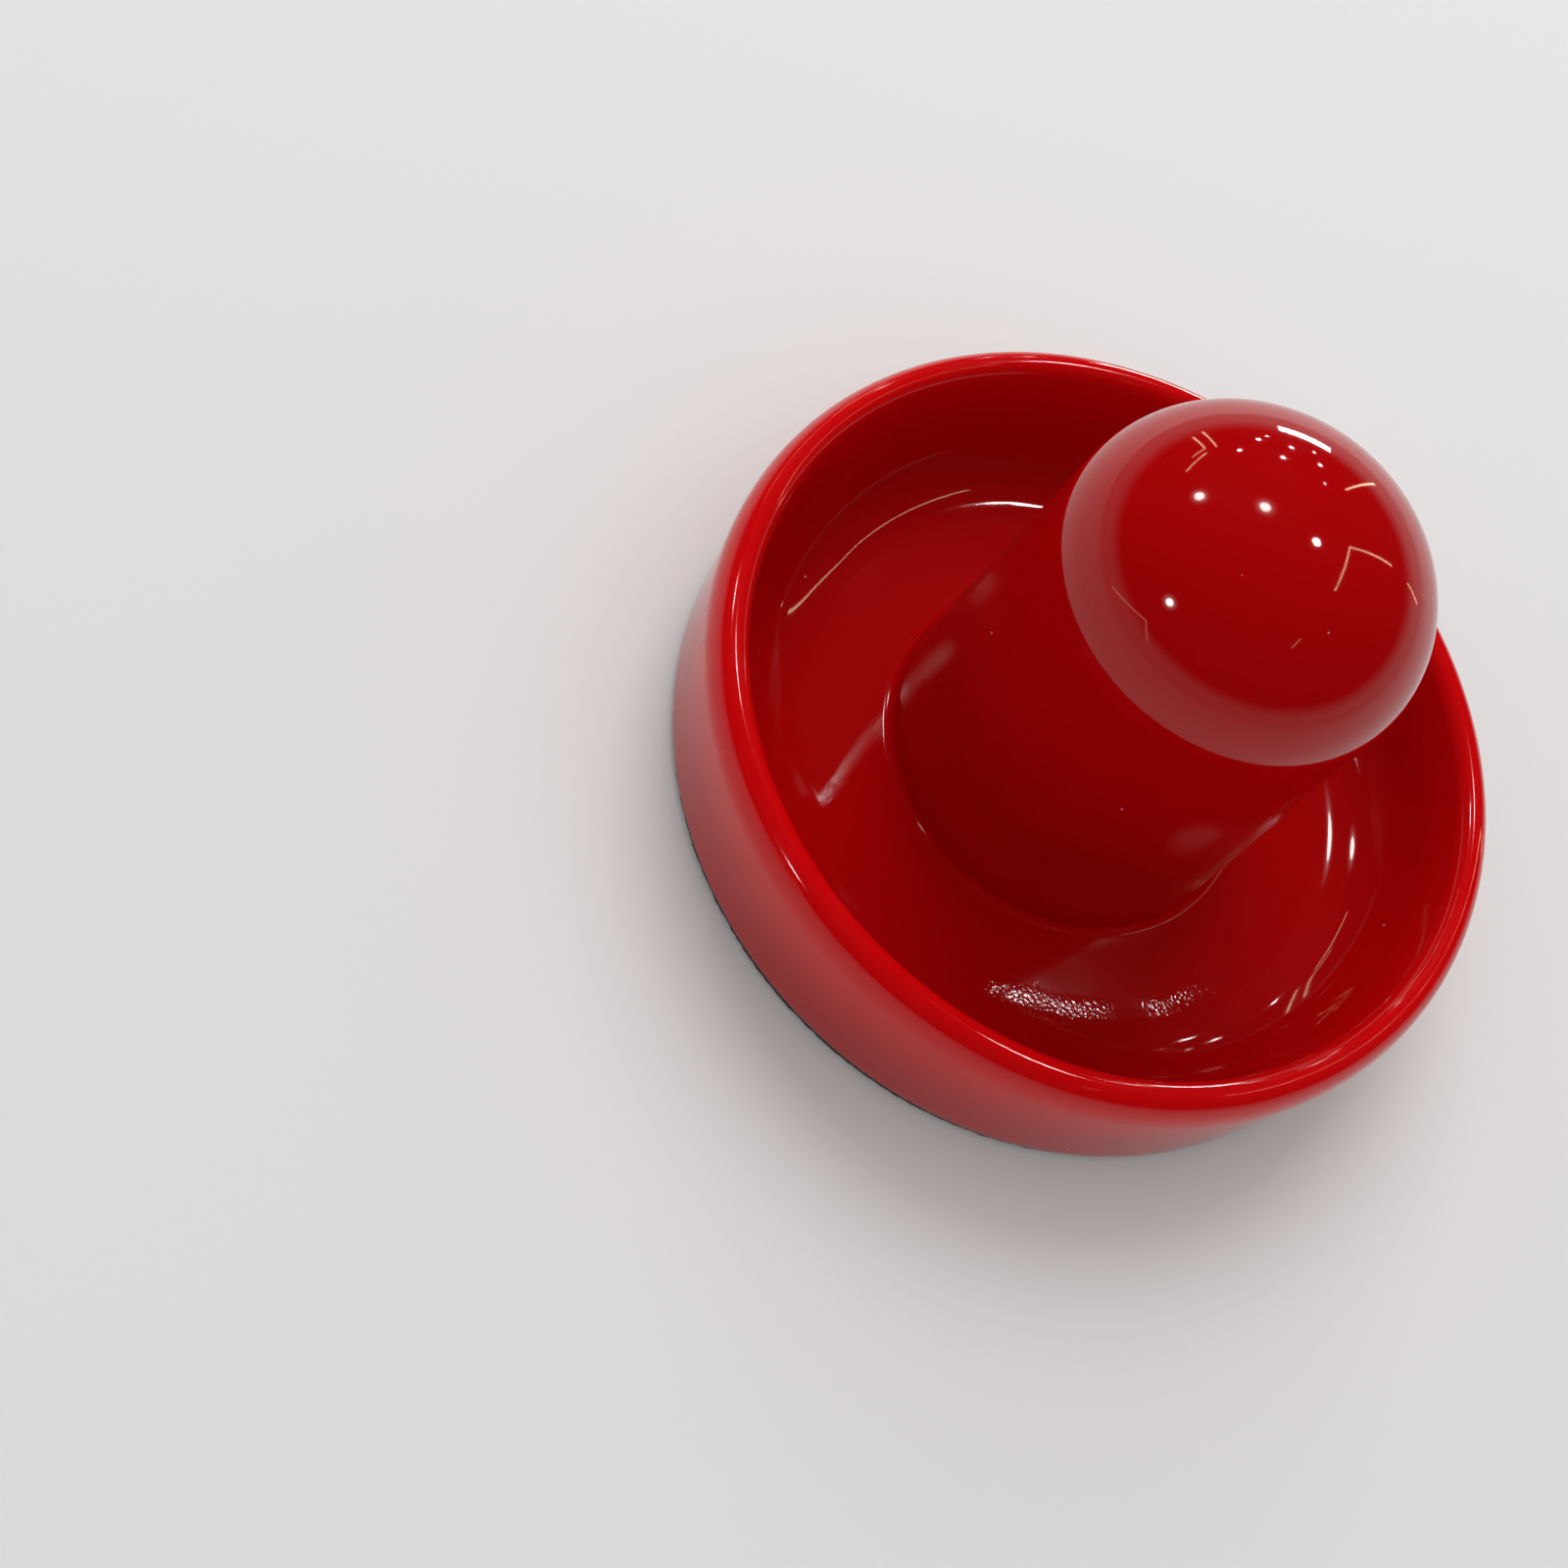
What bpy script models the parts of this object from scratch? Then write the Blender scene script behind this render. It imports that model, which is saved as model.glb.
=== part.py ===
"""Air hockey mallet: a hollow moulded shell with a finger dish and a domed knob.

A base plate closes the shell underneath, and a felt pad is stuck over the plate
with a film of adhesive. Nothing on the mallet moves.

Units are metres and +Z is up. The origin is the centre of the felt's underside,
the face that the mallet glides on, and +Z runs up the axis of the knob.
"""

import math

import bmesh
import bpy
from mathutils import Matrix

MM = 0.001

# Overall sizes
BASE_DIAMETER = 96.0 * MM
OVERALL_HEIGHT = 60.0 * MM
RIM_HEIGHT = 20.2 * MM

# Layers from the table upwards
FELT_THICKNESS = 1.2 * MM
FILM_THICKNESS = 0.12 * MM
FILM_GAP = 0.04 * MM
PLATE_THICKNESS = 1.0 * MM
GLUE_LINE = 0.1 * MM

# Shell wall, and the draft on the moulding core inside it
WALL = 1.6 * MM
CORE_DRAFT = math.radians(1.0)
SKIRT_EDGE_ROUND = 0.5 * MM

# Rim: an elliptical bead that is fuller on its outer side
RIM_OUTER_WIDTH = 2.6 * MM
RIM_OUTER_DROP = 4.0 * MM
RIM_INNER_WIDTH = 1.8 * MM
RIM_INNER_DROP = 2.2 * MM

# Dish between the rim and the knob
DISH_DRAFT = math.radians(9.0)
COVE_RADIUS = 10.0 * MM

# Knob: a tapered stem under a slightly flattened dome
DOME_RADIUS = 20.0 * MM
DOME_RISE = 16.0 * MM
KNOB_DRAFT = math.radians(3.3)
KNOB_FILLET = 1.2 * MM

# Hollow of the rim and the ribs that stiffen it
CHANNEL_TOP = 14.0 * MM
RIB_COUNT = 12
RIB_THICKNESS = 1.2 * MM
RIB_LIFT = 0.5 * MM
RIB_ROOT_ANGLE = -78.0

# Base plate: a disc with a ring that plugs into the mouth of the hollow knob
PLATE_CLEARANCE = 0.2 * MM
SPIGOT_HEIGHT = 2.0 * MM
SPIGOT_WALL = 1.4 * MM

# Felt and adhesive outlines
FELT_INSET = 0.4 * MM
FILM_INSET = 0.6 * MM

# Facets
TURN_STEPS = 72
WELD_DISTANCE = 0.001 * MM
SHARP_ANGLE = math.radians(32.0)

# Heights and radii that follow from the sizes above
BASE_RADIUS = BASE_DIAMETER / 2
FELT_RADIUS = BASE_RADIUS - FELT_INSET
FILM_RADIUS = FELT_RADIUS - FILM_INSET
FILM_BOTTOM = FELT_THICKNESS + FILM_GAP
SHELL_BOTTOM = FILM_BOTTOM + FILM_THICKNESS + FILM_GAP
PLATE_TOP = SHELL_BOTTOM + PLATE_THICKNESS
FLOOR_UNDERSIDE = PLATE_TOP + GLUE_LINE
FLOOR_TOP = FLOOR_UNDERSIDE + WALL
CREST_RADIUS = BASE_RADIUS - RIM_OUTER_WIDTH
DOME_CENTRE = OVERALL_HEIGHT - DOME_RISE
COVE_CENTRE_HEIGHT = FLOOR_TOP + COVE_RADIUS


def arc(centre_r, centre_z, width, height, start, end, steps):
    """Points along an elliptical arc, with its angles in degrees from +r."""
    points = []
    for step in range(steps + 1):
        angle = math.radians(start + (end - start) * step / steps)
        points.append((centre_r + width * math.cos(angle), centre_z + height * math.sin(angle)))
    return points


def tangent_start(width, height, draft):
    """Angle in degrees at which an ellipse leans by the draft of the wall that runs into it."""
    return math.degrees(math.atan(height / width * math.tan(draft)))


def stem_radius(z):
    """Outside radius of the tapered stem at a height, tangent to the dome."""
    start = math.radians(tangent_start(DOME_RADIUS, DOME_RISE, KNOB_DRAFT))
    top_radius = DOME_RADIUS * math.cos(start)
    top_height = DOME_CENTRE + DOME_RISE * math.sin(start)
    return top_radius + (top_height - z) * math.tan(KNOB_DRAFT)


def hollow_radius(z):
    """Inside radius of the tapered stem at a height."""
    return stem_radius(z) - WALL / math.cos(KNOB_DRAFT)


def dish_radius(z):
    """Radius of the sloping dish wall at a height, tangent to the inner side of the rim."""
    start = math.radians(tangent_start(RIM_INNER_WIDTH, RIM_INNER_DROP, DISH_DRAFT))
    top_radius = CREST_RADIUS - RIM_INNER_WIDTH * math.cos(start)
    top_height = RIM_HEIGHT - RIM_INNER_DROP + RIM_INNER_DROP * math.sin(start)
    return top_radius - (top_height - z) * math.tan(DISH_DRAFT)


def cove_centre_radius():
    """Radius of the cove's centre, which is also where the flat floor of the dish ends."""
    return dish_radius(COVE_CENTRE_HEIGHT) - COVE_RADIUS / math.cos(DISH_DRAFT)


def skirt_inner_radius(z):
    """Radius of the inside face of the skirt, which leans with the moulding core."""
    return BASE_RADIUS - WALL - (z - SHELL_BOTTOM) * math.tan(CORE_DRAFT)


def outside_profile():
    """The faces that show, from the top of the dome down to the edge of the skirt."""
    knob_start = tangent_start(DOME_RADIUS, DOME_RISE, KNOB_DRAFT)
    rim_start = tangent_start(RIM_INNER_WIDTH, RIM_INNER_DROP, DISH_DRAFT)
    dish_draft = math.degrees(DISH_DRAFT)
    knob_draft = math.degrees(KNOB_DRAFT)
    fillet_height = FLOOR_TOP + KNOB_FILLET
    fillet_radius = stem_radius(fillet_height) + KNOB_FILLET / math.cos(KNOB_DRAFT)
    cove_r = cove_centre_radius()
    inner_z = RIM_HEIGHT - RIM_INNER_DROP
    outer_z = RIM_HEIGHT - RIM_OUTER_DROP
    edge_r = BASE_RADIUS - SKIRT_EDGE_ROUND
    edge_z = SHELL_BOTTOM + SKIRT_EDGE_ROUND
    points = arc(0, DOME_CENTRE, DOME_RADIUS, DOME_RISE, 90, knob_start, 14)
    points += arc(fillet_radius, fillet_height, KNOB_FILLET, KNOB_FILLET, 180 + knob_draft, 270, 4)
    points += arc(cove_r, COVE_CENTRE_HEIGHT, COVE_RADIUS, COVE_RADIUS, -90, -dish_draft, 8)
    points += arc(CREST_RADIUS, inner_z, RIM_INNER_WIDTH, RIM_INNER_DROP, 180 - rim_start, 90, 5)
    points += arc(CREST_RADIUS, outer_z, RIM_OUTER_WIDTH, RIM_OUTER_DROP, 90, 0, 6)[1:]
    points += arc(edge_r, edge_z, SKIRT_EDGE_ROUND, SKIRT_EDGE_ROUND, 0, -90, 3)
    return points


def inside_profile():
    """The hidden faces, from the edge of the skirt up into the rim and on into the knob."""
    outer_r = skirt_inner_radius(CHANNEL_TOP)
    inner_r = dish_radius(CHANNEL_TOP) + WALL / math.cos(DISH_DRAFT)
    roof_r = (outer_r + inner_r) / 2
    roof = (outer_r - inner_r) / 2
    offset = COVE_RADIUS + WALL
    cap_width = DOME_RADIUS - WALL
    cap_rise = DOME_RISE - WALL
    cap_start = tangent_start(cap_width, cap_rise, KNOB_DRAFT)
    points = [(skirt_inner_radius(SHELL_BOTTOM), SHELL_BOTTOM)]
    points += arc(roof_r, CHANNEL_TOP, roof, roof, 0, 180, 4)
    points += arc(
        cove_centre_radius(), COVE_CENTRE_HEIGHT, offset, offset, -math.degrees(DISH_DRAFT), -90, 6
    )
    points += [(hollow_radius(FLOOR_UNDERSIDE), FLOOR_UNDERSIDE)]
    points += arc(0, DOME_CENTRE, cap_width, cap_rise, cap_start, 90, 8)
    return points


def rib_outline():
    """Side view of one rib, with its edges buried halfway into the walls that it joins."""
    buried = COVE_RADIUS + WALL / 2
    roof_z = CHANNEL_TOP + WALL
    foot_z = FLOOR_UNDERSIDE + RIB_LIFT
    skirt_r = BASE_RADIUS - WALL / 2
    points = [(skirt_r, foot_z), (skirt_r, roof_z)]
    points += [(dish_radius(roof_z) + WALL / 2 / math.cos(DISH_DRAFT), roof_z)]
    points += arc(
        cove_centre_radius(), COVE_CENTRE_HEIGHT, buried, buried,
        -math.degrees(DISH_DRAFT), RIB_ROOT_ANGLE, 6,
    )
    points += [(points[-1][0], foot_z)]
    return points


def add_object(name, bm, material, seat=0.0):
    """Turns a bmesh into a smooth-shaded object that stands at its seat height."""
    bmesh.ops.recalc_face_normals(bm, faces=bm.faces[:])
    mesh = bpy.data.meshes.new(name)
    bm.to_mesh(mesh)
    bm.free()
    mesh.shade_smooth()
    mesh.set_sharp_from_angle(angle=SHARP_ANGLE)
    mesh.materials.append(material)
    obj = bpy.data.objects.new(name, mesh)
    obj.location.z = seat
    bpy.context.scene.collection.objects.link(obj)
    return obj


def turned(profile):
    """Spins a profile that starts and ends on the axis into a closed bmesh."""
    bm = bmesh.new()
    verts = [bm.verts.new((r, 0, z)) for r, z in profile]
    edges = [bm.edges.new(pair) for pair in zip(verts, verts[1:])]
    bmesh.ops.spin(
        bm, geom=verts + edges, cent=(0, 0, 0), axis=(0, 0, 1),
        angle=math.tau, steps=TURN_STEPS, use_merge=True,
    )
    bmesh.ops.remove_doubles(bm, verts=bm.verts[:], dist=WELD_DISTANCE)
    return bm


def plastic(name, colour, roughness):
    """A coloured plastic, felt or adhesive finish: none of the pieces is metal."""
    material = bpy.data.materials.new(name)
    material.use_nodes = True
    shader = material.node_tree.nodes["Principled BSDF"]
    shader.inputs["Base Color"].default_value = (*colour, 1.0)
    shader.inputs["Roughness"].default_value = roughness
    shader.inputs["Metallic"].default_value = 0.0
    return material


def rim_ribs(material):
    """Radial ribs that stiffen the hollow rim, as one shape to be joined to the shell."""
    bm = bmesh.new()
    for index in range(RIB_COUNT):
        verts = [bm.verts.new((r, -RIB_THICKNESS / 2, z)) for r, z in rib_outline()]
        face = bm.faces.new(verts)
        extruded = bmesh.ops.extrude_face_region(bm, geom=[face])["geom"]
        moved = [item for item in extruded if isinstance(item, bmesh.types.BMVert)]
        bmesh.ops.translate(bm, verts=moved, vec=(0, RIB_THICKNESS, 0))
        turn = Matrix.Rotation(math.tau * index / RIB_COUNT, 3, "Z")
        bmesh.ops.rotate(bm, verts=verts + moved, cent=(0, 0, 0), matrix=turn)
    ribs = add_object("rim_ribs", bm, material)
    ribs.hide_render = True
    ribs.display_type = "WIRE"
    return ribs


def shell():
    """Red moulding in one piece: skirt, rim, dish and knob, hollow and open underneath."""
    material = plastic("red_gloss_abs", (0.52, 0.0, 0.004), 0.06)
    obj = add_object("shell", turned(outside_profile() + inside_profile()), material)
    ribs = rim_ribs(material)
    join = obj.modifiers.new("join_ribs", "BOOLEAN")
    join.operation = "UNION"
    join.solver = "EXACT"
    join.object = ribs
    return [obj, ribs]


def base_plate():
    """Black disc glued inside the foot of the skirt, centred by a ring in the knob's mouth."""
    material = plastic("black_styrene", (0.02, 0.02, 0.02), 0.5)
    radius = skirt_inner_radius(SHELL_BOTTOM) - PLATE_CLEARANCE
    ring_top = PLATE_THICKNESS + SPIGOT_HEIGHT
    ring_foot_r = hollow_radius(PLATE_TOP) - PLATE_CLEARANCE
    ring_top_r = hollow_radius(SHELL_BOTTOM + ring_top) - PLATE_CLEARANCE
    ring_inner_r = ring_top_r - SPIGOT_WALL
    profile = [
        (0, PLATE_THICKNESS),
        (ring_inner_r, PLATE_THICKNESS),
        (ring_inner_r, ring_top),
        (ring_top_r, ring_top),
        (ring_foot_r, PLATE_THICKNESS),
        (radius, PLATE_THICKNESS),
        (radius, 0),
        (0, 0),
    ]
    return [add_object("base_plate", turned(profile), material, SHELL_BOTTOM)]


def adhesive_film():
    """Double-sided adhesive disc that holds the felt to the plate and the skirt's edge."""
    material = plastic("clear_adhesive", (0.55, 0.5, 0.4), 0.4)
    profile = [(0, FILM_THICKNESS), (FILM_RADIUS, FILM_THICKNESS), (FILM_RADIUS, 0), (0, 0)]
    return [add_object("adhesive_film", turned(profile), material, FILM_BOTTOM)]


def felt_pad():
    """Black felt disc on which the mallet glides."""
    material = plastic("black_felt", (0.008, 0.008, 0.009), 0.95)
    profile = [(0, FELT_THICKNESS), (FELT_RADIUS, FELT_THICKNESS), (FELT_RADIUS, 0), (0, 0)]
    return [add_object("felt_pad", turned(profile), material)]


def build():
    """Builds every piece and hangs it on one empty at the centre of the felt's underside."""
    for obj in list(bpy.data.objects):
        bpy.data.objects.remove(obj, do_unlink=True)
    mallet = bpy.data.objects.new("air_hockey_mallet", None)
    bpy.context.scene.collection.objects.link(mallet)
    for piece in shell() + base_plate() + adhesive_film() + felt_pad():
        piece.parent = mallet


build()
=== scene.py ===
"""Looks of an air hockey mallet: a red moulded shell on a base plate and a black felt pad."""

import math

import bmesh
import bpy
from mathutils import Matrix, Quaternion, Vector, noise


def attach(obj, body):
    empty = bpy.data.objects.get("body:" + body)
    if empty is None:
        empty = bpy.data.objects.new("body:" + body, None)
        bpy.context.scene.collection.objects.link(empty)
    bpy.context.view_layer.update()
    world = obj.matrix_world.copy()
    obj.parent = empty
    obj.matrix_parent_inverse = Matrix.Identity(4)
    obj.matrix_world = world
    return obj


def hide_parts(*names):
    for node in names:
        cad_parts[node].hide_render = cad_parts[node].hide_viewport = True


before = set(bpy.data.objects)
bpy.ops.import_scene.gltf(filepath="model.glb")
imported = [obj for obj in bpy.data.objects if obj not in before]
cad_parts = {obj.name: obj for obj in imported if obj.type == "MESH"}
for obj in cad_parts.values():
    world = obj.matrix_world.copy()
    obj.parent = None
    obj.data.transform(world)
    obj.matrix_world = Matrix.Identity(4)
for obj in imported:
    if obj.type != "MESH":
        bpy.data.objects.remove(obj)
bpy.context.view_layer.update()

# Felt pad: a die-cut disc of pressed black wool felt, 1.2 mm thick, that the mallet
# glides on. It is stuck on, and its cut edge shows as a dark line under the skirt.
MM = 0.001
FELT_RADIUS = 47.6 * MM
FELT_THICKNESS = 1.2 * MM
FELT_EDGE_ROUND = 0.35 * MM
FELT_TURN_STEPS = 480
FELT_RINGS = 40
FELT_FRAY = 0.14 * MM
FELT_FRAY_SPACING = 0.8 * MM
FELT_FRAY_DEPTH = 1.5 * MM
FELT_NAP = 0.06 * MM
FELT_NAP_SPACING = 2.4 * MM
TUFT_SPACING = 0.5 * MM
TUFT_RELIEF = 0.25 * MM
WELD = 0.0005 * MM
MIX_SHARE, MIX_FIRST, MIX_SECOND, MIX_RESULT = 0, 6, 7, 2


def section_arc(bm, tail, centre, size, start, end, steps):
    """Adds a rounded stretch to a section: a vertex spun round a unit circle, then scaled and moved."""
    count = len(bm.verts)
    angle = math.radians(start)
    first = bm.verts.new((math.cos(angle), 0, math.sin(angle)))
    bmesh.ops.spin(
        bm, geom=[first], cent=(0, 0, 0), axis=(0, -1, 0), angle=math.radians(end - start), steps=steps
    )
    bm.verts.ensure_lookup_table()
    stretch = bm.verts[count:]
    bmesh.ops.scale(bm, vec=(size[0], 1, size[1]), verts=stretch)
    bmesh.ops.translate(bm, vec=(centre[0], 0, centre[1]), verts=stretch)
    if tail:
        bm.edges.new((tail, stretch[0]))
    return stretch[-1]


def section_line(bm, tail, r, z, steps=1):
    """Carries a section on in a straight line to a point, in even steps."""
    step = (Vector((r, 0, z)) - tail.co) / steps
    made = bmesh.ops.spin(bm, geom=[tail], axis=(0, 0, 1), dvec=step, angle=0, steps=steps)
    return made["geom_last"][0]


def turn_section(bm, steps):
    """Spins a section that starts and ends on the axis into a closed skin that faces outwards."""
    bmesh.ops.spin(
        bm, geom=bm.verts[:] + bm.edges[:], cent=(0, 0, 0), axis=(0, 0, 1),
        angle=math.tau, steps=steps, use_merge=True,
    )
    bmesh.ops.remove_doubles(bm, verts=bm.verts[:], dist=WELD)
    bmesh.ops.recalc_face_normals(bm, faces=bm.faces[:])


def piece(name, bm, material):
    """Turns a finished bmesh into a smooth-shaded object at the origin."""
    mesh = bpy.data.meshes.new(name)
    bm.to_mesh(mesh)
    bm.free()
    mesh.shade_smooth()
    mesh.materials.append(material)
    obj = bpy.data.objects.new(name, mesh)
    bpy.context.scene.collection.objects.link(obj)
    return obj


def colour(hex_code):
    """Turns an sRGB hex colour into the linear RGBA that shader sockets take."""
    channels = [int(hex_code[i:i + 2], 16) / 255 for i in (0, 2, 4)]
    linear = [c / 12.92 if c <= 0.04045 else ((c + 0.055) / 1.055) ** 2.4 for c in channels]
    return (*linear, 1.0)


def material_tree(name):
    """Starts a material with an empty node tree."""
    material = bpy.data.materials.new(name)
    material.use_nodes = True
    material.node_tree.nodes.clear()
    return material, material.node_tree


def add_node(tree, kind, inputs, **settings):
    """Adds a node with its settings; each input is a constant or the socket that feeds it."""
    made = tree.nodes.new("ShaderNode" + kind)
    for name, value in settings.items():
        setattr(made, name, value)
    for name, value in inputs.items():
        if isinstance(value, bpy.types.NodeSocket):
            tree.links.new(value, made.inputs[name])
        else:
            made.inputs[name].default_value = value
    return made


# Pressed wool felt gives a dull black of mixed dark fibres, with a faint fuzz at a glancing angle.
# Its fibres are about 0.03 mm thick, too fine to show, so they are drawn as tufts 0.5 mm apart.
felt_black, tree = material_tree("pressed_black_wool_felt")
place = add_node(tree, "TexCoord", {}).outputs["Object"]
tufts = add_node(
    tree, "TexNoise", {"Vector": place, "Scale": 1 / TUFT_SPACING, "Detail": 6.0, "Roughness": 0.7}
).outputs["Fac"]
shade = add_node(
    tree, "Mix",
    {MIX_SHARE: tufts, MIX_FIRST: colour("0A0A0B"), MIX_SECOND: colour("26262A")},
    data_type="RGBA",
).outputs[MIX_RESULT]
nap = add_node(tree, "Bump", {"Height": tufts, "Strength": 0.7, "Distance": TUFT_RELIEF}).outputs["Normal"]
shader = add_node(tree, "BsdfPrincipled", {
    "Base Color": shade,
    "Roughness": 0.95,
    "Sheen Weight": 0.25,
    "Sheen Roughness": 0.4,
    "Normal": nap,
})
add_node(tree, "OutputMaterial", {"Surface": shader.outputs["BSDF"]})

bm = bmesh.new()
edge_r = FELT_RADIUS - FELT_EDGE_ROUND
edge_size = (FELT_EDGE_ROUND, FELT_EDGE_ROUND)
edge_top = (edge_r, FELT_THICKNESS - FELT_EDGE_ROUND)
edge_foot = (edge_r, FELT_EDGE_ROUND)
tail = bm.verts.new((0, 0, FELT_THICKNESS))
tail = section_line(bm, tail, edge_r, FELT_THICKNESS, steps=FELT_RINGS)
tail = section_arc(bm, tail, edge_top, edge_size, start=90, end=0, steps=3)
tail = section_arc(bm, tail, edge_foot, edge_size, start=0, end=-90, steps=3)
section_line(bm, tail, 0, 0, steps=FELT_RINGS)
turn_section(bm, FELT_TURN_STEPS)
for vert in bm.verts:
    outward = vert.co.copy()
    outward.z = 0
    at_edge = max(0, 1 - (FELT_RADIUS - outward.length) / FELT_FRAY_DEPTH)
    vert.co += outward.normalized() * noise.noise(vert.co / FELT_FRAY_SPACING) * FELT_FRAY * at_edge
    if vert.co.z < FELT_THICKNESS / 2:
        vert.co.z += FELT_NAP * (0.5 + 0.5 * noise.noise(vert.co / FELT_NAP_SPACING))
felt = piece("felt_disc", bm, felt_black)
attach(felt, "root")
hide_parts("felt_pad")

# Adhesive film: a clear double-sided disc, 0.12 mm thick, that holds the felt to the plate
# and the foot of the skirt. It is rolled on, which leaves a few fine bubbles in it.
BUBBLE_SPACING = 1.6 * MM
BUBBLE_CORE = 0.1
BUBBLE_EDGE = 0.22
BUBBLE_RELIEF = 0.03 * MM
DRAG_SPACING = 7 * MM

# Acrylic adhesive gives a faintly amber, slightly cloudy gloss, paler and duller at each bubble.
clear_adhesive, tree = material_tree("clear_acrylic_adhesive")
place = add_node(tree, "TexCoord", {}).outputs["Object"]
bubbles = add_node(tree, "TexVoronoi", {"Vector": place, "Scale": 1 / BUBBLE_SPACING})
bubble = add_node(
    tree, "MapRange",
    {
        "Value": bubbles.outputs["Distance"], "From Min": BUBBLE_CORE, "From Max": BUBBLE_EDGE,
        "To Min": 1.0, "To Max": 0.0,
    },
    interpolation_type="SMOOTHSTEP",
).outputs["Result"]
drag = add_node(tree, "TexNoise", {"Vector": place, "Scale": 1 / DRAG_SPACING, "Detail": 4.0})
tint = add_node(
    tree, "Mix",
    {MIX_SHARE: drag.outputs["Fac"], MIX_FIRST: colour("BDB39C"), MIX_SECOND: colour("CFC8B6")},
    data_type="RGBA",
).outputs[MIX_RESULT]
tint = add_node(
    tree, "Mix",
    {MIX_SHARE: bubble, MIX_FIRST: tint, MIX_SECOND: colour("E6E2D8")},
    data_type="RGBA",
).outputs[MIX_RESULT]
haze = add_node(tree, "MapRange", {"Value": bubble, "To Min": 0.32, "To Max": 0.55})
blister = add_node(tree, "Bump", {"Height": bubble, "Strength": 0.5, "Distance": BUBBLE_RELIEF})
shader = add_node(tree, "BsdfPrincipled", {
    "Base Color": tint,
    "Roughness": haze.outputs["Result"],
    "IOR": 1.47,
    "Normal": blister.outputs["Normal"],
})
add_node(tree, "OutputMaterial", {"Surface": shader.outputs["BSDF"]})
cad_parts["adhesive_film"].material_slots[0].material = clear_adhesive

# Base plate: a black styrene disc that is glued inside the foot of the skirt and closes the
# hollow moulding. Its mould was spark eroded, so its faces are an even fine matt grain.
PIT_SPACING = 0.25 * MM
PIT_RELIEF = 0.05 * MM
PLATE_FLOW_SPACING = 14 * MM

# Spark-eroded styrene gives a satin near-black with faint clouds from the flow of the melt.
# The real pits are about 0.1 mm apart, too fine to show, so they are drawn 0.25 mm apart.
black_styrene, tree = material_tree("matt_black_styrene")
place = add_node(tree, "TexCoord", {}).outputs["Object"]
pits = add_node(
    tree, "TexNoise", {"Vector": place, "Scale": 1 / PIT_SPACING, "Detail": 3.0}
).outputs["Fac"]
flow = add_node(tree, "TexNoise", {"Vector": place, "Scale": 1 / PLATE_FLOW_SPACING, "Detail": 2.0})
shade = add_node(
    tree, "Mix",
    {MIX_SHARE: flow.outputs["Fac"], MIX_FIRST: colour("222223"), MIX_SECOND: colour("2B2B2C")},
    data_type="RGBA",
).outputs[MIX_RESULT]
matt = add_node(tree, "MapRange", {"Value": pits, "To Min": 0.42, "To Max": 0.6})
pitted = add_node(tree, "Bump", {"Height": pits, "Strength": 0.4, "Distance": PIT_RELIEF})
shader = add_node(tree, "BsdfPrincipled", {
    "Base Color": shade,
    "Roughness": matt.outputs["Result"],
    "IOR": 1.59,
    "Normal": pitted.outputs["Normal"],
})
add_node(tree, "OutputMaterial", {"Surface": shader.outputs["BSDF"]})
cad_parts["base_plate"].material_slots[0].material = black_styrene

# Red shell: one injection moulding in glossy ABS, from the domed knob down to the skirt.
# It is hollow underneath, with 12 stiffening ribs in the channel under its rim, and draws
# straight off a polished two-part mould.
SHELL_RADIUS = 48.0 * MM
SHELL_FOOT = 1.4 * MM
RIM_HEIGHT = 20.2 * MM
SHELL_HEIGHT = 60.0 * MM
SHELL_WALL = 1.6 * MM
SHELL_TURN_STEPS = 216
SHARP_EDGE = math.radians(40)
DOME = (20.0 * MM, 16.0 * MM)
DOME_CENTRE = SHELL_HEIGHT - DOME[1]
STEM_DRAFT = math.radians(3.3)
STEM_FILLET = 1.2 * MM
DISH_FLOOR = 4.1 * MM
COVE = 10.0 * MM
DISH_DRAFT = math.radians(9.0)
RIM_OUTER = (2.6 * MM, 4.0 * MM)
RIM_INNER = (1.8 * MM, 2.2 * MM)
CREST_RADIUS = SHELL_RADIUS - RIM_OUTER[0]
SKIRT_EDGE_ROUND = 0.5 * MM
DISH_UNDERSIDE = DISH_FLOOR - SHELL_WALL
CORE_DRAFT = math.radians(1.0)
CHANNEL_TOP = 14.0 * MM
RIB_COUNT = 12
RIB_THICKNESS = 1.2 * MM
RIB_LIFT = 0.5 * MM
RIB_ROOT_ANGLE = -78.0


def lean(size, draft):
    """Angle in degrees at which an ellipse leans as much as the drafted wall that runs into it."""
    return math.degrees(math.atan(size[1] / size[0] * math.tan(draft)))


stem_lean = math.radians(lean(DOME, STEM_DRAFT))
stem_top_r = DOME[0] * math.cos(stem_lean)
stem_top_z = DOME_CENTRE + DOME[1] * math.sin(stem_lean)
fillet_z = DISH_FLOOR + STEM_FILLET
fillet_r = stem_top_r + (stem_top_z - fillet_z) * math.tan(STEM_DRAFT) + STEM_FILLET / math.cos(STEM_DRAFT)
wall_lean = math.radians(lean(RIM_INNER, DISH_DRAFT))
wall_top_r = CREST_RADIUS - RIM_INNER[0] * math.cos(wall_lean)
wall_top_z = RIM_HEIGHT - RIM_INNER[1] + RIM_INNER[1] * math.sin(wall_lean)
cove_z = DISH_FLOOR + COVE
cove_r = wall_top_r - (wall_top_z - cove_z) * math.tan(DISH_DRAFT) - COVE / math.cos(DISH_DRAFT)


def dish_wall_r(z):
    """Radius of the leaning dish wall at a height."""
    return wall_top_r - (wall_top_z - z) * math.tan(DISH_DRAFT)


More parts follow.
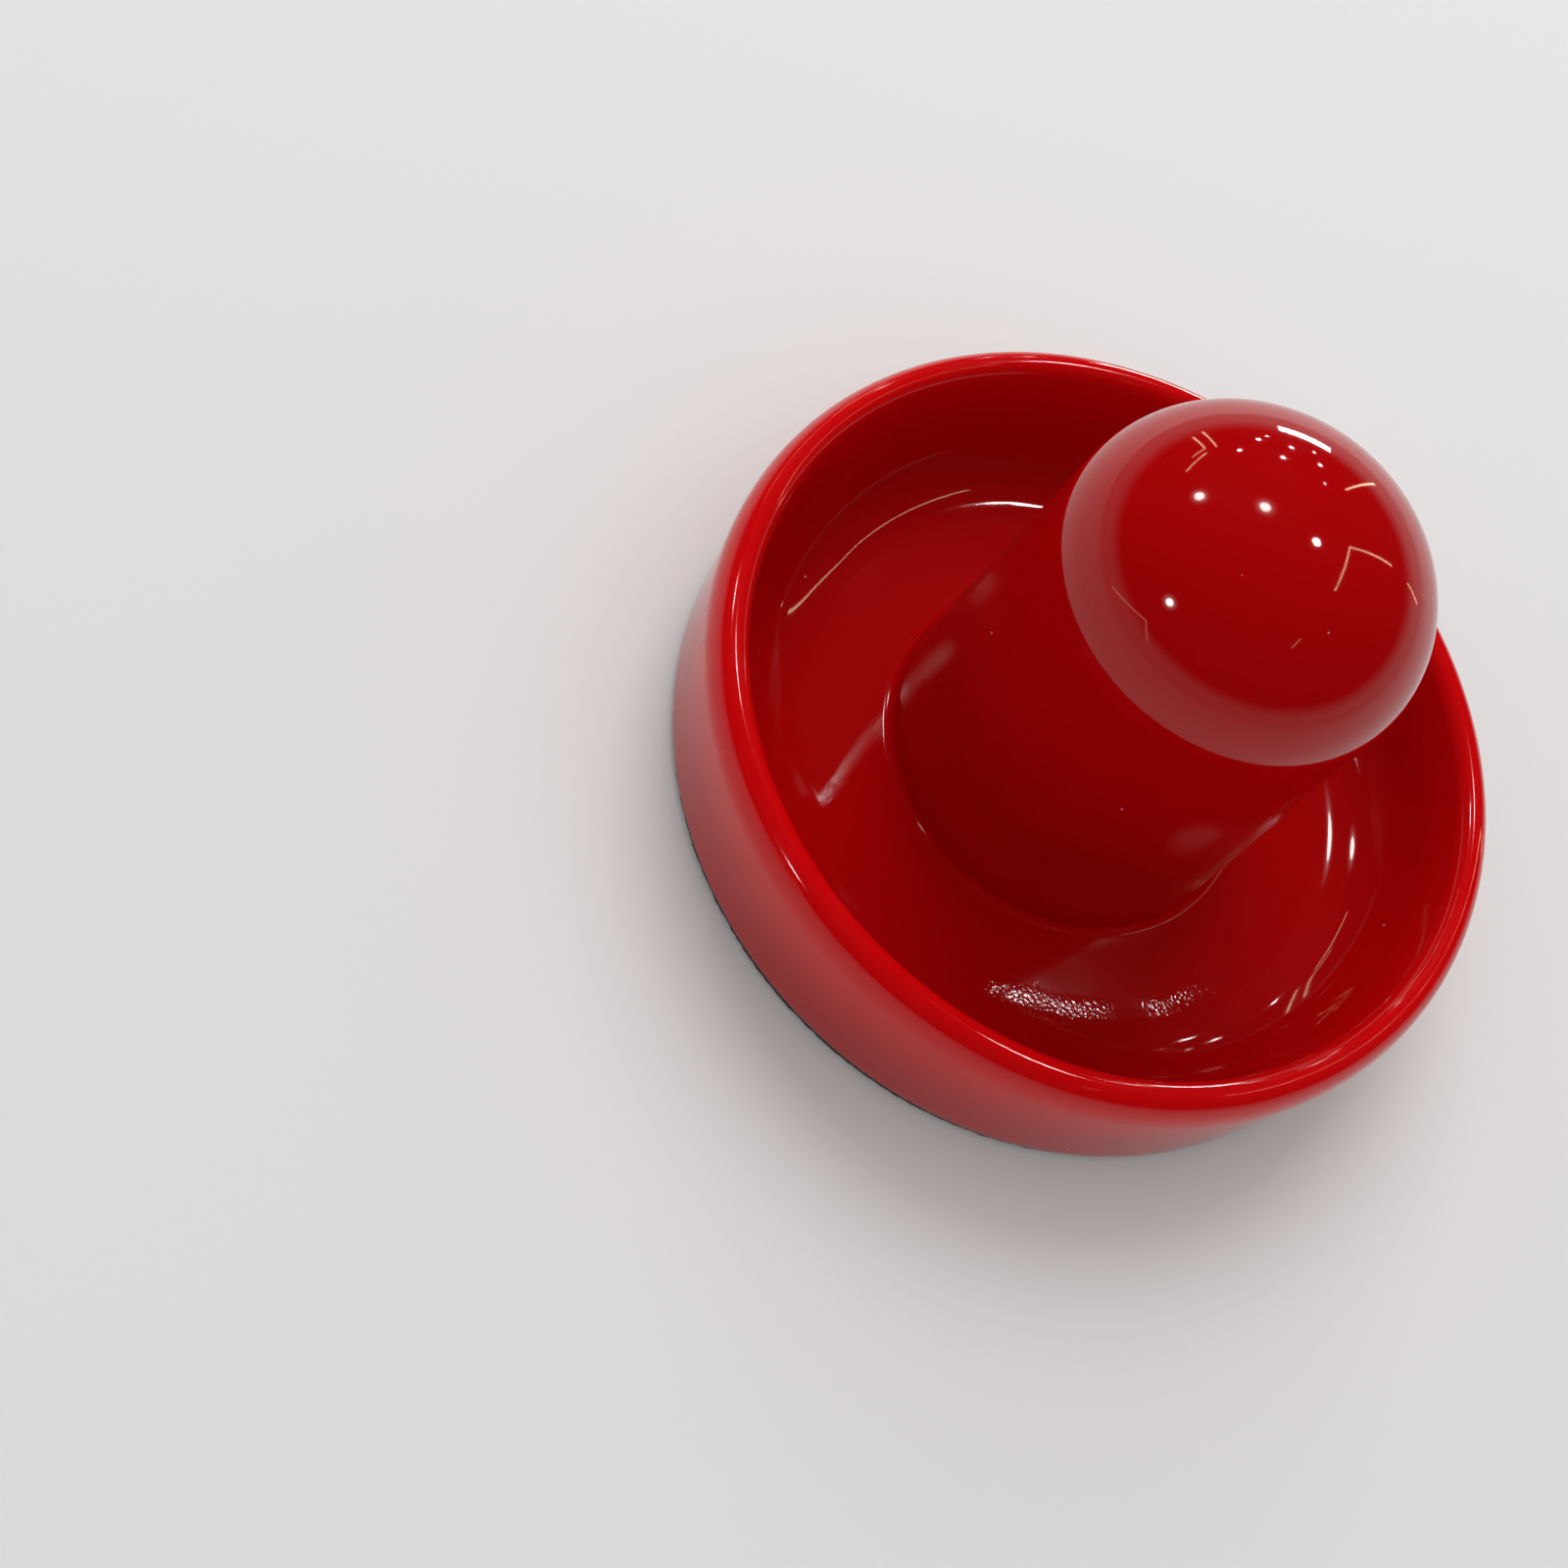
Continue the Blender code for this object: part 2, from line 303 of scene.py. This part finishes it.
skirt_inside_r = SHELL_RADIUS - SHELL_WALL
channel_outer_r = skirt_inside_r - (CHANNEL_TOP - SHELL_FOOT) * math.tan(CORE_DRAFT)
channel_inner_r = dish_wall_r(CHANNEL_TOP) + SHELL_WALL / math.cos(DISH_DRAFT)
stem_underside_r = stem_top_r + (stem_top_z - DISH_UNDERSIDE) * math.tan(STEM_DRAFT)
hollow_r = stem_underside_r - SHELL_WALL / math.cos(STEM_DRAFT)

# Glossy ABS gives a deep red under a thin clear mirror of the room, painted brighter over the rim as painted
# light and darker in the dish as painted shade. Handling has dulled that mirror a little on the lower stem
# and on the rim.
STEM_RUB = 0.2
SHELL_ZONES = {
    # in_dish, off_stem and inside_skirt bound the painted shade in the dish, and the satin ring.
    "in_dish": ("level", 6 * MM, 14 * MM, 1.0, 0.0, "SMOOTHSTEP"),
    "off_stem": ("reach", 22.5 * MM, 25 * MM, 0.0, 1.0, "SMOOTHSTEP"),
    "inside_skirt": ("reach", 44.5 * MM, 45.5 * MM, 1.0, 0.0, "LINEAR"),
    # high and toward_rim bound the painted light on the rim and the upper dish wall.
    "high": ("level", 6 * MM, 18 * MM, 0.0, 1.0, "SMOOTHSTEP"),
    "toward_rim": ("reach", 35 * MM, 43 * MM, 0.0, 1.0, "SMOOTHSTEP"),
    "rim_and_skirt": ("reach", 40 * MM, 43 * MM, 0.0, 1.0, "SMOOTHSTEP"),
    "on_stem": ("reach", 23 * MM, 23.6 * MM, 1.0, 0.0, "LINEAR"),
    "rubbed_level": ("level", 24 * MM, 46 * MM, STEM_RUB, 0.0, "SMOOTHSTEP"),
    "above_fillet": ("level", fillet_z, fillet_z + 2 * MM, 0.0, 1.0, "LINEAR"),
}
SHARED_ZONES = {
    "dish": ("in_dish", "off_stem", "inside_skirt"),
    "rim": ("high", "toward_rim"),
    "grip": ("on_stem", "rubbed_level", "above_fillet"),
}
red_abs, tree = material_tree("glossy_red_abs")
place = add_node(tree, "TexCoord", {}).outputs["Object"]
level = add_node(tree, "SeparateXYZ", {"Vector": place}).outputs["Z"]
flat_place = add_node(tree, "VectorMath", {0: place, 1: (1, 1, 0)}, operation="MULTIPLY").outputs["Vector"]
reach = add_node(tree, "VectorMath", {0: flat_place}, operation="LENGTH").outputs["Value"]
around = add_node(tree, "VectorMath", {0: flat_place}, operation="NORMALIZE").outputs["Vector"]

# Zones of the moulding: each is a share that runs from one value to another between two levels
# above the table or two reaches from the axis. A shared zone is where several overlap.
zones = {}
for name, (measure, start, end, before, after, ease) in SHELL_ZONES.items():
    zones[name] = add_node(
        tree, "MapRange",
        {
            "Value": level if measure == "level" else reach,
            "From Min": start, "From Max": end, "To Min": before, "To Max": after,
        },
        interpolation_type=ease,
    ).outputs["Result"]
for name, members in SHARED_ZONES.items():
    share = zones[members[0]]
    for member in members[1:]:
        share = add_node(tree, "Math", {0: share, 1: zones[member]}, operation="MULTIPLY").outputs["Value"]
    zones[name] = share

# Satin ring: a patchy band round the dish floor where the mould's polish has worn.
RING_RADIUS = 32.7 * MM
RING_CORE = 1.0 * MM
RING_WIDTH = 5.0 * MM
RING_PATCH_SPACING = 15 * MM
RING_PATCH_SEED = 1.3
off_ring = add_node(tree, "Math", {0: reach, 1: RING_RADIUS}, operation="SUBTRACT").outputs["Value"]
off_ring = add_node(tree, "Math", {0: off_ring}, operation="ABSOLUTE").outputs["Value"]
ring = add_node(
    tree, "MapRange",
    {"Value": off_ring, "From Min": RING_CORE, "From Max": RING_WIDTH / 2, "To Min": 1.0, "To Max": 0.0},
    interpolation_type="SMOOTHSTEP",
).outputs["Result"]
ring = add_node(tree, "Math", {0: ring, 1: zones["dish"]}, operation="MULTIPLY").outputs["Value"]
ring_patches = add_node(
    tree, "TexNoise",
    {"Vector": place, "W": RING_PATCH_SEED, "Scale": 1 / RING_PATCH_SPACING, "Detail": 3.0},
    noise_dimensions="4D",
)
ring_patch = add_node(
    tree, "MapRange", {"Value": ring_patches.outputs["Fac"], "From Min": 0.44, "From Max": 0.6},
    interpolation_type="SMOOTHSTEP",
).outputs["Result"]
ring = add_node(tree, "Math", {0: ring, 1: ring_patch}, operation="MULTIPLY").outputs["Value"]

# Rub marks run round the axis: noise stretched along the turn, 0.5 mm across and 11 mm long
# at the ring.
RUB_WIDTH = 0.5 * MM
RUB_LENGTH = 11 * MM
RUB_TURN_RADIUS = 33 * MM
turn_scale = RUB_TURN_RADIUS / RUB_LENGTH
stretch = add_node(tree, "VectorMath", {0: around, "Scale": turn_scale}, operation="SCALE").outputs["Vector"]
climb = add_node(tree, "Math", {0: reach, 1: level}, operation="ADD").outputs["Value"]
climb = add_node(tree, "Math", {0: climb, 1: 1 / RUB_WIDTH}, operation="MULTIPLY").outputs["Value"]
climb = add_node(tree, "CombineXYZ", {"Z": climb}).outputs["Vector"]
turned_place = add_node(tree, "VectorMath", {0: stretch, 1: climb}, operation="ADD").outputs["Vector"]
rubs = add_node(tree, "TexNoise", {"Vector": turned_place, "Scale": 1.0, "Detail": 4.0, "Roughness": 0.6})
rub = add_node(
    tree, "MapRange", {"Value": rubs.outputs["Fac"], "From Min": 0.42, "From Max": 0.68},
    interpolation_type="SMOOTHSTEP",
).outputs["Result"]

# Hairlines on the rim and skirt: noise stretched along two directions, and cut off high. Real
# ones are about 0.02 mm across, too fine to show, so they are drawn 0.15 mm across.
HAIRLINE_TURNS = ((0.4, 0.3, 0.9), (1.1, -0.5, 2.3))
HAIRLINE_WIDTH = 0.15 * MM
HAIRLINE_LENGTH = 18 * MM
hairline = None
for turn in HAIRLINE_TURNS:
    turned = add_node(
        tree, "Mapping",
        {
            "Vector": place, "Rotation": turn,
            "Scale": (1 / HAIRLINE_LENGTH, 1 / HAIRLINE_WIDTH, 1 / HAIRLINE_LENGTH),
        },
    )
    lines = add_node(tree, "TexNoise", {"Vector": turned.outputs["Vector"], "Scale": 1.0, "Detail": 0.0})
    cut = add_node(
        tree, "MapRange", {"Value": lines.outputs["Fac"], "From Min": 0.83, "From Max": 0.86}
    ).outputs["Result"]
    hairline = cut if hairline is None else add_node(
        tree, "Math", {0: hairline, 1: cut}, operation="MAXIMUM"
    ).outputs["Value"]
hairline = add_node(
    tree, "Math", {0: hairline, 1: zones["rim_and_skirt"]}, operation="MULTIPLY"
).outputs["Value"]

# Dust: a few pale specks. Real ones are about 0.1 mm across, and are drawn 0.3 mm across to show.
DUST_SPACING = 4.5 * MM
DUST_RADIUS = 0.18 * MM
DUST_CORE = 0.108 * MM
DUST_RARITY = 0.72
dust_cells = add_node(tree, "TexVoronoi", {"Vector": place, "Scale": 1 / DUST_SPACING})
dust = add_node(
    tree, "MapRange",
    {
        "Value": dust_cells.outputs["Distance"],
        "From Min": DUST_CORE / DUST_SPACING, "From Max": DUST_RADIUS / DUST_SPACING,
        "To Min": 1.0, "To Max": 0.0,
    },
).outputs["Result"]
dust_pick = add_node(tree, "SeparateColor", {"Color": dust_cells.outputs["Color"]}).outputs["Red"]
dust_pick = add_node(tree, "Math", {0: dust_pick, 1: DUST_RARITY}, operation="GREATER_THAN").outputs["Value"]
dust = add_node(tree, "Math", {0: dust, 1: dust_pick}, operation="MULTIPLY").outputs["Value"]

# Colour: a little uneven, with painted light that brightens the rim and the upper dish wall, painted
# shade that keeps the dish a darker red, and pale hairlines and dust. Each tint covers a share of the red
# under it.
SHELL_FLOW_SPACING = 16 * MM
TINTS = (
    # Painted shade: the dish is kept at the darker end of the red.
    (zones["dish"], 1.0, "B00305"),
    # Painted light: the rim and the upper dish wall are a brighter red, as if lit more.
    (zones["rim"], 1.0, "D4050A"),
    (hairline, 0.12, "D8504A"),
    (dust, 0.6, "E9C9C2"),
)
flow = add_node(tree, "TexNoise", {"Vector": place, "Scale": 1 / SHELL_FLOW_SPACING, "Detail": 2.0})
red = add_node(
    tree, "Mix",
    {MIX_SHARE: flow.outputs["Fac"], MIX_FIRST: colour("B00205"), MIX_SECOND: colour("B80306")},
    data_type="RGBA",
).outputs[MIX_RESULT]
for mask, cover, tint in TINTS:
    share = add_node(tree, "Math", {0: mask, 1: cover}, operation="MULTIPLY").outputs["Value"]
    red = add_node(
        tree, "Mix", {MIX_SHARE: share, MIX_FIRST: red, MIX_SECOND: colour(tint)}, data_type="RGBA"
    ).outputs[MIX_RESULT]

# Gloss: a polished mould face, smeared all over, dulled on the ring, where fingers rub the
# lower stem, on the rim, and at hairlines and dust. The fillet under the stem stays glossy.
SMEAR_SPACING = 12 * MM
CLEAN_GLOSS = 0.04
SMEARED_GLOSS = 0.065
smears = add_node(
    tree, "TexNoise", {"Vector": place, "Scale": 1 / SMEAR_SPACING, "Detail": 4.0, "Distortion": 0.6}
)
gloss = add_node(
    tree, "MapRange",
    {
        "Value": smears.outputs["Fac"], "From Min": 0.4, "From Max": 0.75,
        "To Min": CLEAN_GLOSS, "To Max": SMEARED_GLOSS,
    },
).outputs["Result"]
ring_rub = add_node(tree, "Math", {0: ring, 1: rub}, operation="MULTIPLY").outputs["Value"]
rim_rub = add_node(tree, "Math", {0: zones["rim"], 1: rub}, operation="MULTIPLY").outputs["Value"]
DULLINGS = ((ring_rub, 0.06), (zones["grip"], 1.0), (rim_rub, 0.05), (hairline, 0.08), (dust, 0.5))
for mask, amount in DULLINGS:
    gloss = add_node(
        tree, "Math", {0: mask, 1: amount, 2: gloss}, operation="MULTIPLY_ADD"
    ).outputs["Value"]

# Relief in millimetres: long moulding waves, the ring's grain, the hairlines cut in and the dust
# standing up. The ring's real grain is about 0.1 mm, drawn coarser, at 0.45 mm, to show.
WAVE_SPACING = 8 * MM
WAVE_RELIEF = 0.012
RING_GRAIN_SPACING = 0.45 * MM
waves = add_node(tree, "TexNoise", {"Vector": place, "Scale": 1 / WAVE_SPACING, "Detail": 1.0})
grain = add_node(tree, "TexNoise", {"Vector": place, "Scale": 1 / RING_GRAIN_SPACING, "Detail": 1.0})
ring_grain = add_node(
    tree, "Math", {0: grain.outputs["Fac"], 1: ring}, operation="MULTIPLY"
).outputs["Value"]
RELIEFS = ((ring_grain, 0.032), (hairline, -0.001), (dust, 0.02))
relief = add_node(
    tree, "Math", {0: waves.outputs["Fac"], 1: WAVE_RELIEF}, operation="MULTIPLY"
).outputs["Value"]
for mask, height in RELIEFS:
    relief = add_node(
        tree, "Math", {0: mask, 1: height, 2: relief}, operation="MULTIPLY_ADD"
    ).outputs["Value"]
skin = add_node(tree, "Bump", {"Height": relief, "Strength": 1.0, "Distance": MM})
shader = add_node(tree, "BsdfPrincipled", {
    "Base Color": red,
    "Roughness": gloss,
    "IOR": 1.42,
    "Normal": skin.outputs["Normal"],
})
add_node(tree, "OutputMaterial", {"Surface": shader.outputs["BSDF"]})

# The shell's section runs from the top of the dome down the stem, across the dish, over the rim
# and down the skirt, then back up the hollow inside to the axis.
stem_lean_angle = math.degrees(stem_lean)
stem_angle = math.degrees(STEM_DRAFT)
dish_angle = math.degrees(DISH_DRAFT)
wall_lean_angle = math.degrees(wall_lean)
fillet = (STEM_FILLET, STEM_FILLET)
stem_foot = (fillet_r - STEM_FILLET * math.cos(STEM_DRAFT), fillet_z - STEM_FILLET * math.sin(STEM_DRAFT))
cove = (cove_r, cove_z)
inner_centre = (CREST_RADIUS, RIM_HEIGHT - RIM_INNER[1])
outer_centre = (CREST_RADIUS, RIM_HEIGHT - RIM_OUTER[1])
skirt_edge = (SHELL_RADIUS - SKIRT_EDGE_ROUND, SHELL_FOOT + SKIRT_EDGE_ROUND)
skirt_edge_size = (SKIRT_EDGE_ROUND, SKIRT_EDGE_ROUND)
roof = ((channel_outer_r + channel_inner_r) / 2, CHANNEL_TOP)
roof_size = ((channel_outer_r - channel_inner_r) / 2,) * 2
cove_under = (COVE + SHELL_WALL, COVE + SHELL_WALL)
cap = (DOME[0] - SHELL_WALL, DOME[1] - SHELL_WALL)
bm = bmesh.new()
tail = section_arc(bm, None, (0, DOME_CENTRE), DOME, start=90, end=stem_lean_angle, steps=48)
tail = section_line(bm, tail, *stem_foot, steps=16)
tail = section_arc(bm, tail, (fillet_r, fillet_z), fillet, start=180 + stem_angle, end=270, steps=10)
tail = section_line(bm, tail, cove_r, DISH_FLOOR, steps=6)
tail = section_arc(bm, tail, cove, (COVE, COVE), start=-90, end=-dish_angle, steps=28)
tail = section_line(bm, tail, wall_top_r, wall_top_z, steps=4)
tail = section_arc(bm, tail, inner_centre, RIM_INNER, start=180 - wall_lean_angle, end=90, steps=16)
tail = section_arc(bm, tail, outer_centre, RIM_OUTER, start=90, end=0, steps=24)
tail = section_line(bm, tail, SHELL_RADIUS, skirt_edge[1], steps=10)
tail = section_arc(bm, tail, skirt_edge, skirt_edge_size, start=0, end=-90, steps=6)
tail = section_line(bm, tail, skirt_inside_r, SHELL_FOOT)
tail = section_line(bm, tail, channel_outer_r, CHANNEL_TOP, steps=4)
tail = section_arc(bm, tail, roof, roof_size, start=0, end=180, steps=12)
tail = section_arc(bm, tail, cove, cove_under, start=-dish_angle, end=-90, steps=14)
tail = section_line(bm, tail, hollow_r, DISH_UNDERSIDE, steps=3)
section_arc(bm, tail, (0, DOME_CENTRE), cap, start=lean(cap, STEM_DRAFT), end=90, steps=24)
turn_section(bm, SHELL_TURN_STEPS)
shell = piece("moulded_shell", bm, red_abs)

# One rib is drawn as its outline, pulled to its thickness and spun round the channel. The ribs
# reach half a wall into the skirt, the channel's roof and the cove, and are joined to the shell.
rib_foot = DISH_UNDERSIDE + RIB_LIFT
rib_roof = CHANNEL_TOP + SHELL_WALL
rib_outer_r = SHELL_RADIUS - SHELL_WALL / 2
rib_inner_r = dish_wall_r(rib_roof) + SHELL_WALL / 2 / math.cos(DISH_DRAFT)
rib_cove = (COVE + SHELL_WALL / 2, COVE + SHELL_WALL / 2)
bm = bmesh.new()
first = bm.verts.new((rib_outer_r, 0, rib_foot))
tail = section_line(bm, first, rib_outer_r, rib_roof)
tail = section_line(bm, tail, rib_inner_r, rib_roof)
tail = section_arc(bm, tail, cove, rib_cove, start=-dish_angle, end=RIB_ROOT_ANGLE, steps=10)
tail = section_line(bm, tail, tail.co.x, rib_foot)
bm.edges.new((tail, first))
bmesh.ops.contextual_create(bm, geom=bm.edges[:])
bmesh.ops.translate(bm, verts=bm.verts[:], vec=(0, -RIB_THICKNESS / 2, 0))
pulled = bmesh.ops.extrude_face_region(bm, geom=bm.faces[:])["geom"]
pulled = [item for item in pulled if isinstance(item, bmesh.types.BMVert)]
bmesh.ops.translate(bm, verts=pulled, vec=(0, RIB_THICKNESS, 0))
bmesh.ops.recalc_face_normals(bm, faces=bm.faces[:])
last_turn = math.tau * (RIB_COUNT - 1) / RIB_COUNT
bmesh.ops.spin(
    bm, geom=bm.verts[:] + bm.edges[:] + bm.faces[:], cent=(0, 0, 0), axis=(0, 0, 1),
    angle=last_turn, steps=RIB_COUNT - 1, use_duplicate=True,
)
ribs = piece("rim_ribs", bm, red_abs)
join = shell.modifiers.new("rim_ribs", "BOOLEAN")
join.operation = "UNION"
join.solver = "EXACT"
join.object = ribs
moulding = bpy.data.meshes.new_from_object(shell.evaluated_get(bpy.context.evaluated_depsgraph_get()))
shell.modifiers.clear()
shell.data = moulding
moulding.set_sharp_from_angle(angle=SHARP_EDGE)
bpy.data.objects.remove(ribs)
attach(shell, "root")
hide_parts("shell")

# Table top: the pale matt surface that the mallet stands on, wide enough to fill every view
# from above. It is part of the setting, and it takes the mallet's shadow.
TABLE_RADIUS = 3.5
table_white, tree = material_tree("pale_table_laminate")
shader = add_node(
    tree, "BsdfPrincipled", {"Base Color": colour("F2F1F0"), "Roughness": 0.9, "Specular IOR Level": 0.0}
)
add_node(tree, "OutputMaterial", {"Surface": shader.outputs["BSDF"]})
bm = bmesh.new()
bmesh.ops.create_circle(bm, cap_ends=True, segments=96, radius=TABLE_RADIUS)
table = piece("table_top", bm, table_white)

# Light: a wide soft ceiling and a soft panel behind the mallet, which light it without showing
# in its gloss, and small lamps, a bar and thin tubes round a dim room, which only show in it.
# A place in the room is a bearing and a height in degrees, seen from the knob.
LAMP_DISTANCE = 2.0
LAMP_SPREAD = math.radians(4.4)
LAMP_GLOW = 2.6
BARE_GLOW = 1.2
SPOT_SPREAD = math.radians(1.3)
TUBE_WIDTH = 0.02
BAR_WIDTH = 0.14
WHITE = "FFFFFF"
WARM = "FFE2BE"
LAMP_AIM = Vector((0, 0, 57 * MM))

# Soft lamps: place, distance and width in metres, watts.
SOFT_LAMPS = {
    "soft_ceiling": ((-150.0, 84.0), 1.4, 9.0, 115.0),
    "soft_panel": ((-140.0, 50.0), 1.2, 0.9, 6.0),
}

# Round lamps: place, width as an angle, how many widths the glow takes in, watts.
ROUND_LAMPS = {
    "lamp_left": ((-103.7, 46.8), LAMP_SPREAD, LAMP_GLOW, 1.5),
    "lamp_back_left": ((-144.8, 61.7), LAMP_SPREAD, LAMP_GLOW, 1.5),
    "lamp_back": ((165.2, 61.2), LAMP_SPREAD * 0.8, LAMP_GLOW * 0.55, 1.9),
    "lamp_front": ((-23.6, 34.3), LAMP_SPREAD, LAMP_GLOW, 1.8),
    "spot_1": ((-140.3, 29.4), SPOT_SPREAD, BARE_GLOW, 0.3),
    "spot_2": ((-149.8, 21.1), SPOT_SPREAD, BARE_GLOW, 0.3),
    "spot_3": ((-156.9, 30.6), SPOT_SPREAD, BARE_GLOW, 0.3),
    "spot_4": ((-160.3, 21.5), SPOT_SPREAD, BARE_GLOW, 0.2),
    "spot_5": ((-169.9, 24.1), SPOT_SPREAD, BARE_GLOW, 0.2),
    "spot_6": ((-153.3, 17.6), SPOT_SPREAD * 0.6, BARE_GLOW, 0.06),
    "spot_7": ((-167.4, 17.6), SPOT_SPREAD * 0.7, BARE_GLOW, 0.06),
    "spot_8": ((-173.9, 33.5), SPOT_SPREAD * 0.8, BARE_GLOW, 0.06),
}

# Tube lamps: the places of both ends, width in metres, watts, tint.
TUBE_LAMPS = {
    "bar_back": ((-158.5, 8.2), (-171.5, 8.2), BAR_WIDTH, 7.0, WHITE),
    "tube_right": ((127.3, 56.0), (157.5, 45.8), TUBE_WIDTH, 0.7, WARM),
    "tube_back": ((157.5, 45.8), (152.2, 22.6), TUBE_WIDTH, 0.6, WARM),
    "tube_back_low": ((149.6, 11.5), (147.1, 2.3), TUBE_WIDTH, 0.15, WARM),
    "tube_far": ((179.6, 27.1), (176.5, 4.1), TUBE_WIDTH, 0.5, WARM),
    "tube_left_1": ((-130.3, 12.9), (-128.7, 24.0), TUBE_WIDTH, 0.3, WARM),
    "tube_left_2": ((-128.7, 24.0), (-121.2, 26.0), TUBE_WIDTH, 0.12, WARM),
    "tube_left_3": ((-134.9, 11.3), (-133.0, 24.9), TUBE_WIDTH, 0.35, WARM),
    "tube_left_4": ((-127.4, 27.1), (-112.5, 31.7), TUBE_WIDTH, 0.35, WARM),
    "tube_front_left": ((-45.9, 1.5), (-21.4, 14.1), TUBE_WIDTH, 0.25, WARM),
    "tube_front": ((-21.4, 14.1), (-12.4, 5.6), TUBE_WIDTH, 0.12, WARM),
    "tube_front_right": ((68.6, 48.4), (76.8, 52.1), TUBE_WIDTH, 0.06, WARM),
}


def room_direction(bearing, height):
    """Direction from the knob to a place in the room, from its bearing and height in degrees."""
    turn = math.radians(bearing)
    rise = math.radians(height)
    return Vector((math.sin(turn) * math.cos(rise), -math.cos(turn) * math.cos(rise), math.sin(rise)))


def hang_lamp(name, place, across, size, watts, tint=WHITE, shows=True):
    """Hangs a lamp that faces the mallet: a disc, or a strip that runs along a direction if one is given."""
    light = bpy.data.lights.new(name, "AREA")
    light.energy = watts
    light.color = colour(tint)[:3]
    light.shape = "RECTANGLE" if across else "DISK"
    light.size = size[0]
    light.size_y = size[1]
    lamp = bpy.data.objects.new(name, light)
    away = (place - LAMP_AIM).normalized()
    turn = away.to_track_quat("Z", "Y").to_matrix()
    if across:
        side = away.cross(across).normalized()
        turn = Matrix((side.cross(away), side, away)).transposed()
    lamp.matrix_world = Matrix.Translation(place) @ turn.to_4x4()
    lamp.visible_camera = False
    lamp.visible_glossy = shows
    lamp.visible_diffuse = not shows
    bpy.context.scene.collection.objects.link(lamp)
    return light


CORE_BLUR = 0.15
HALO = 0.12


def frost_glass(light, core):
    """Frosts a round lamp's glass: bright out to a share of its radius, then a glow that fades out."""
    light.use_nodes = True
    tree = light.node_tree
    tree.nodes.clear()
    spot = add_node(tree, "NewGeometry", {}).outputs["Parametric"]
    spot = add_node(
        tree, "VectorMath", {0: spot, 1: (0.5, 0.5, 0.0)}, operation="SUBTRACT"
    ).outputs["Vector"]
    spot = add_node(
        tree, "VectorMath", {0: spot, 1: (2.0, 2.0, 0.0)}, operation="MULTIPLY"
    ).outputs["Vector"]
    reach = add_node(tree, "VectorMath", {0: spot}, operation="LENGTH").outputs["Value"]
    bright = add_node(
        tree, "MapRange",
        {
            "Value": reach, "From Min": (1 - CORE_BLUR) * core, "From Max": (1 + CORE_BLUR) * core,
            "To Min": 1.0, "To Max": 0.0,
        },
        interpolation_type="SMOOTHSTEP",
    ).outputs["Result"]
    glow = add_node(
        tree, "MapRange",
        {"Value": reach, "From Min": 0.0, "From Max": 1.0, "To Min": HALO, "To Max": 0.0},
        interpolation_type="SMOOTHERSTEP",
    ).outputs["Result"]
    glow = add_node(tree, "Math", {0: glow, 1: bright}, operation="ADD").outputs["Value"]
    shine = add_node(tree, "Emission", {"Strength": glow})
    add_node(tree, "OutputLight", {"Surface": shine.outputs["Emission"]})


for name, (toward, distance, width, watts) in SOFT_LAMPS.items():
    hang_lamp(name, room_direction(*toward) * distance, None, (width, width), watts, shows=False)
for name, (toward, spread, glow, watts) in ROUND_LAMPS.items():
    width = 2 * LAMP_DISTANCE * math.tan(spread / 2) * glow
    place = LAMP_AIM + room_direction(*toward) * LAMP_DISTANCE
    lamp = hang_lamp(name, place, None, (width, width), watts * glow ** 2)
    frost_glass(lamp, 1 / glow)
for name, (start, end, width, watts, tint) in TUBE_LAMPS.items():
    start = LAMP_AIM + room_direction(*start) * LAMP_DISTANCE
    end = LAMP_AIM + room_direction(*end) * LAMP_DISTANCE
    hang_lamp(name, (start + end) / 2, end - start, ((end - start).length, width), watts, tint)

# Room: dim overhead, with a paler glow that starts at the horizon and fades out above it.
HORIZON_GLOW = 0.5
ROOM_GLOW = 0.02
FADE_START = 0.06
FADE_END = 0.26
world = bpy.data.worlds.new("dim_room")
world.use_nodes = True
tree = world.node_tree
tree.nodes.clear()
direction = add_node(tree, "TexCoord", {}).outputs["Generated"]
rise = add_node(tree, "SeparateXYZ", {"Vector": direction}).outputs["Z"]
fade = add_node(
    tree, "MapRange",
    {
        "Value": rise, "From Min": FADE_START, "From Max": FADE_END,
        "To Min": HORIZON_GLOW, "To Max": ROOM_GLOW,
    },
    interpolation_type="SMOOTHSTEP",
).outputs["Result"]
glow = add_node(tree, "Background", {"Color": colour(WHITE), "Strength": fade})
add_node(tree, "OutputWorld", {"Surface": glow.outputs["Background"]})
bpy.context.scene.world = world

# Camera: above the near edge of the mallet, looking down and rolled a little.
CAMERA_PLACE = Vector((0.0, -123.45, 173.38)) * MM
CAMERA_AIM = Vector((-17.44, -39.65, 20.0)) * MM
CAMERA_ROLL = math.radians(36.25)
CAMERA_LENS = 39.43
CAMERA_SENSOR = 36.0
CAMERA_NEAR = 0.01
view = bpy.data.cameras.new("photo_view")
view.lens = CAMERA_LENS
view.sensor_width = CAMERA_SENSOR
view.clip_start = CAMERA_NEAR
camera = bpy.data.objects.new("photo_view", view)
camera.location = CAMERA_PLACE
camera.rotation_mode = "QUATERNION"
camera.rotation_quaternion = (
    (CAMERA_AIM - CAMERA_PLACE).to_track_quat("-Z", "Y") @ Quaternion((0, 0, 1), CAMERA_ROLL)
)
bpy.context.scene.collection.objects.link(camera)
bpy.context.scene.camera = camera
bpy.context.scene.view_settings.view_transform = "Standard"
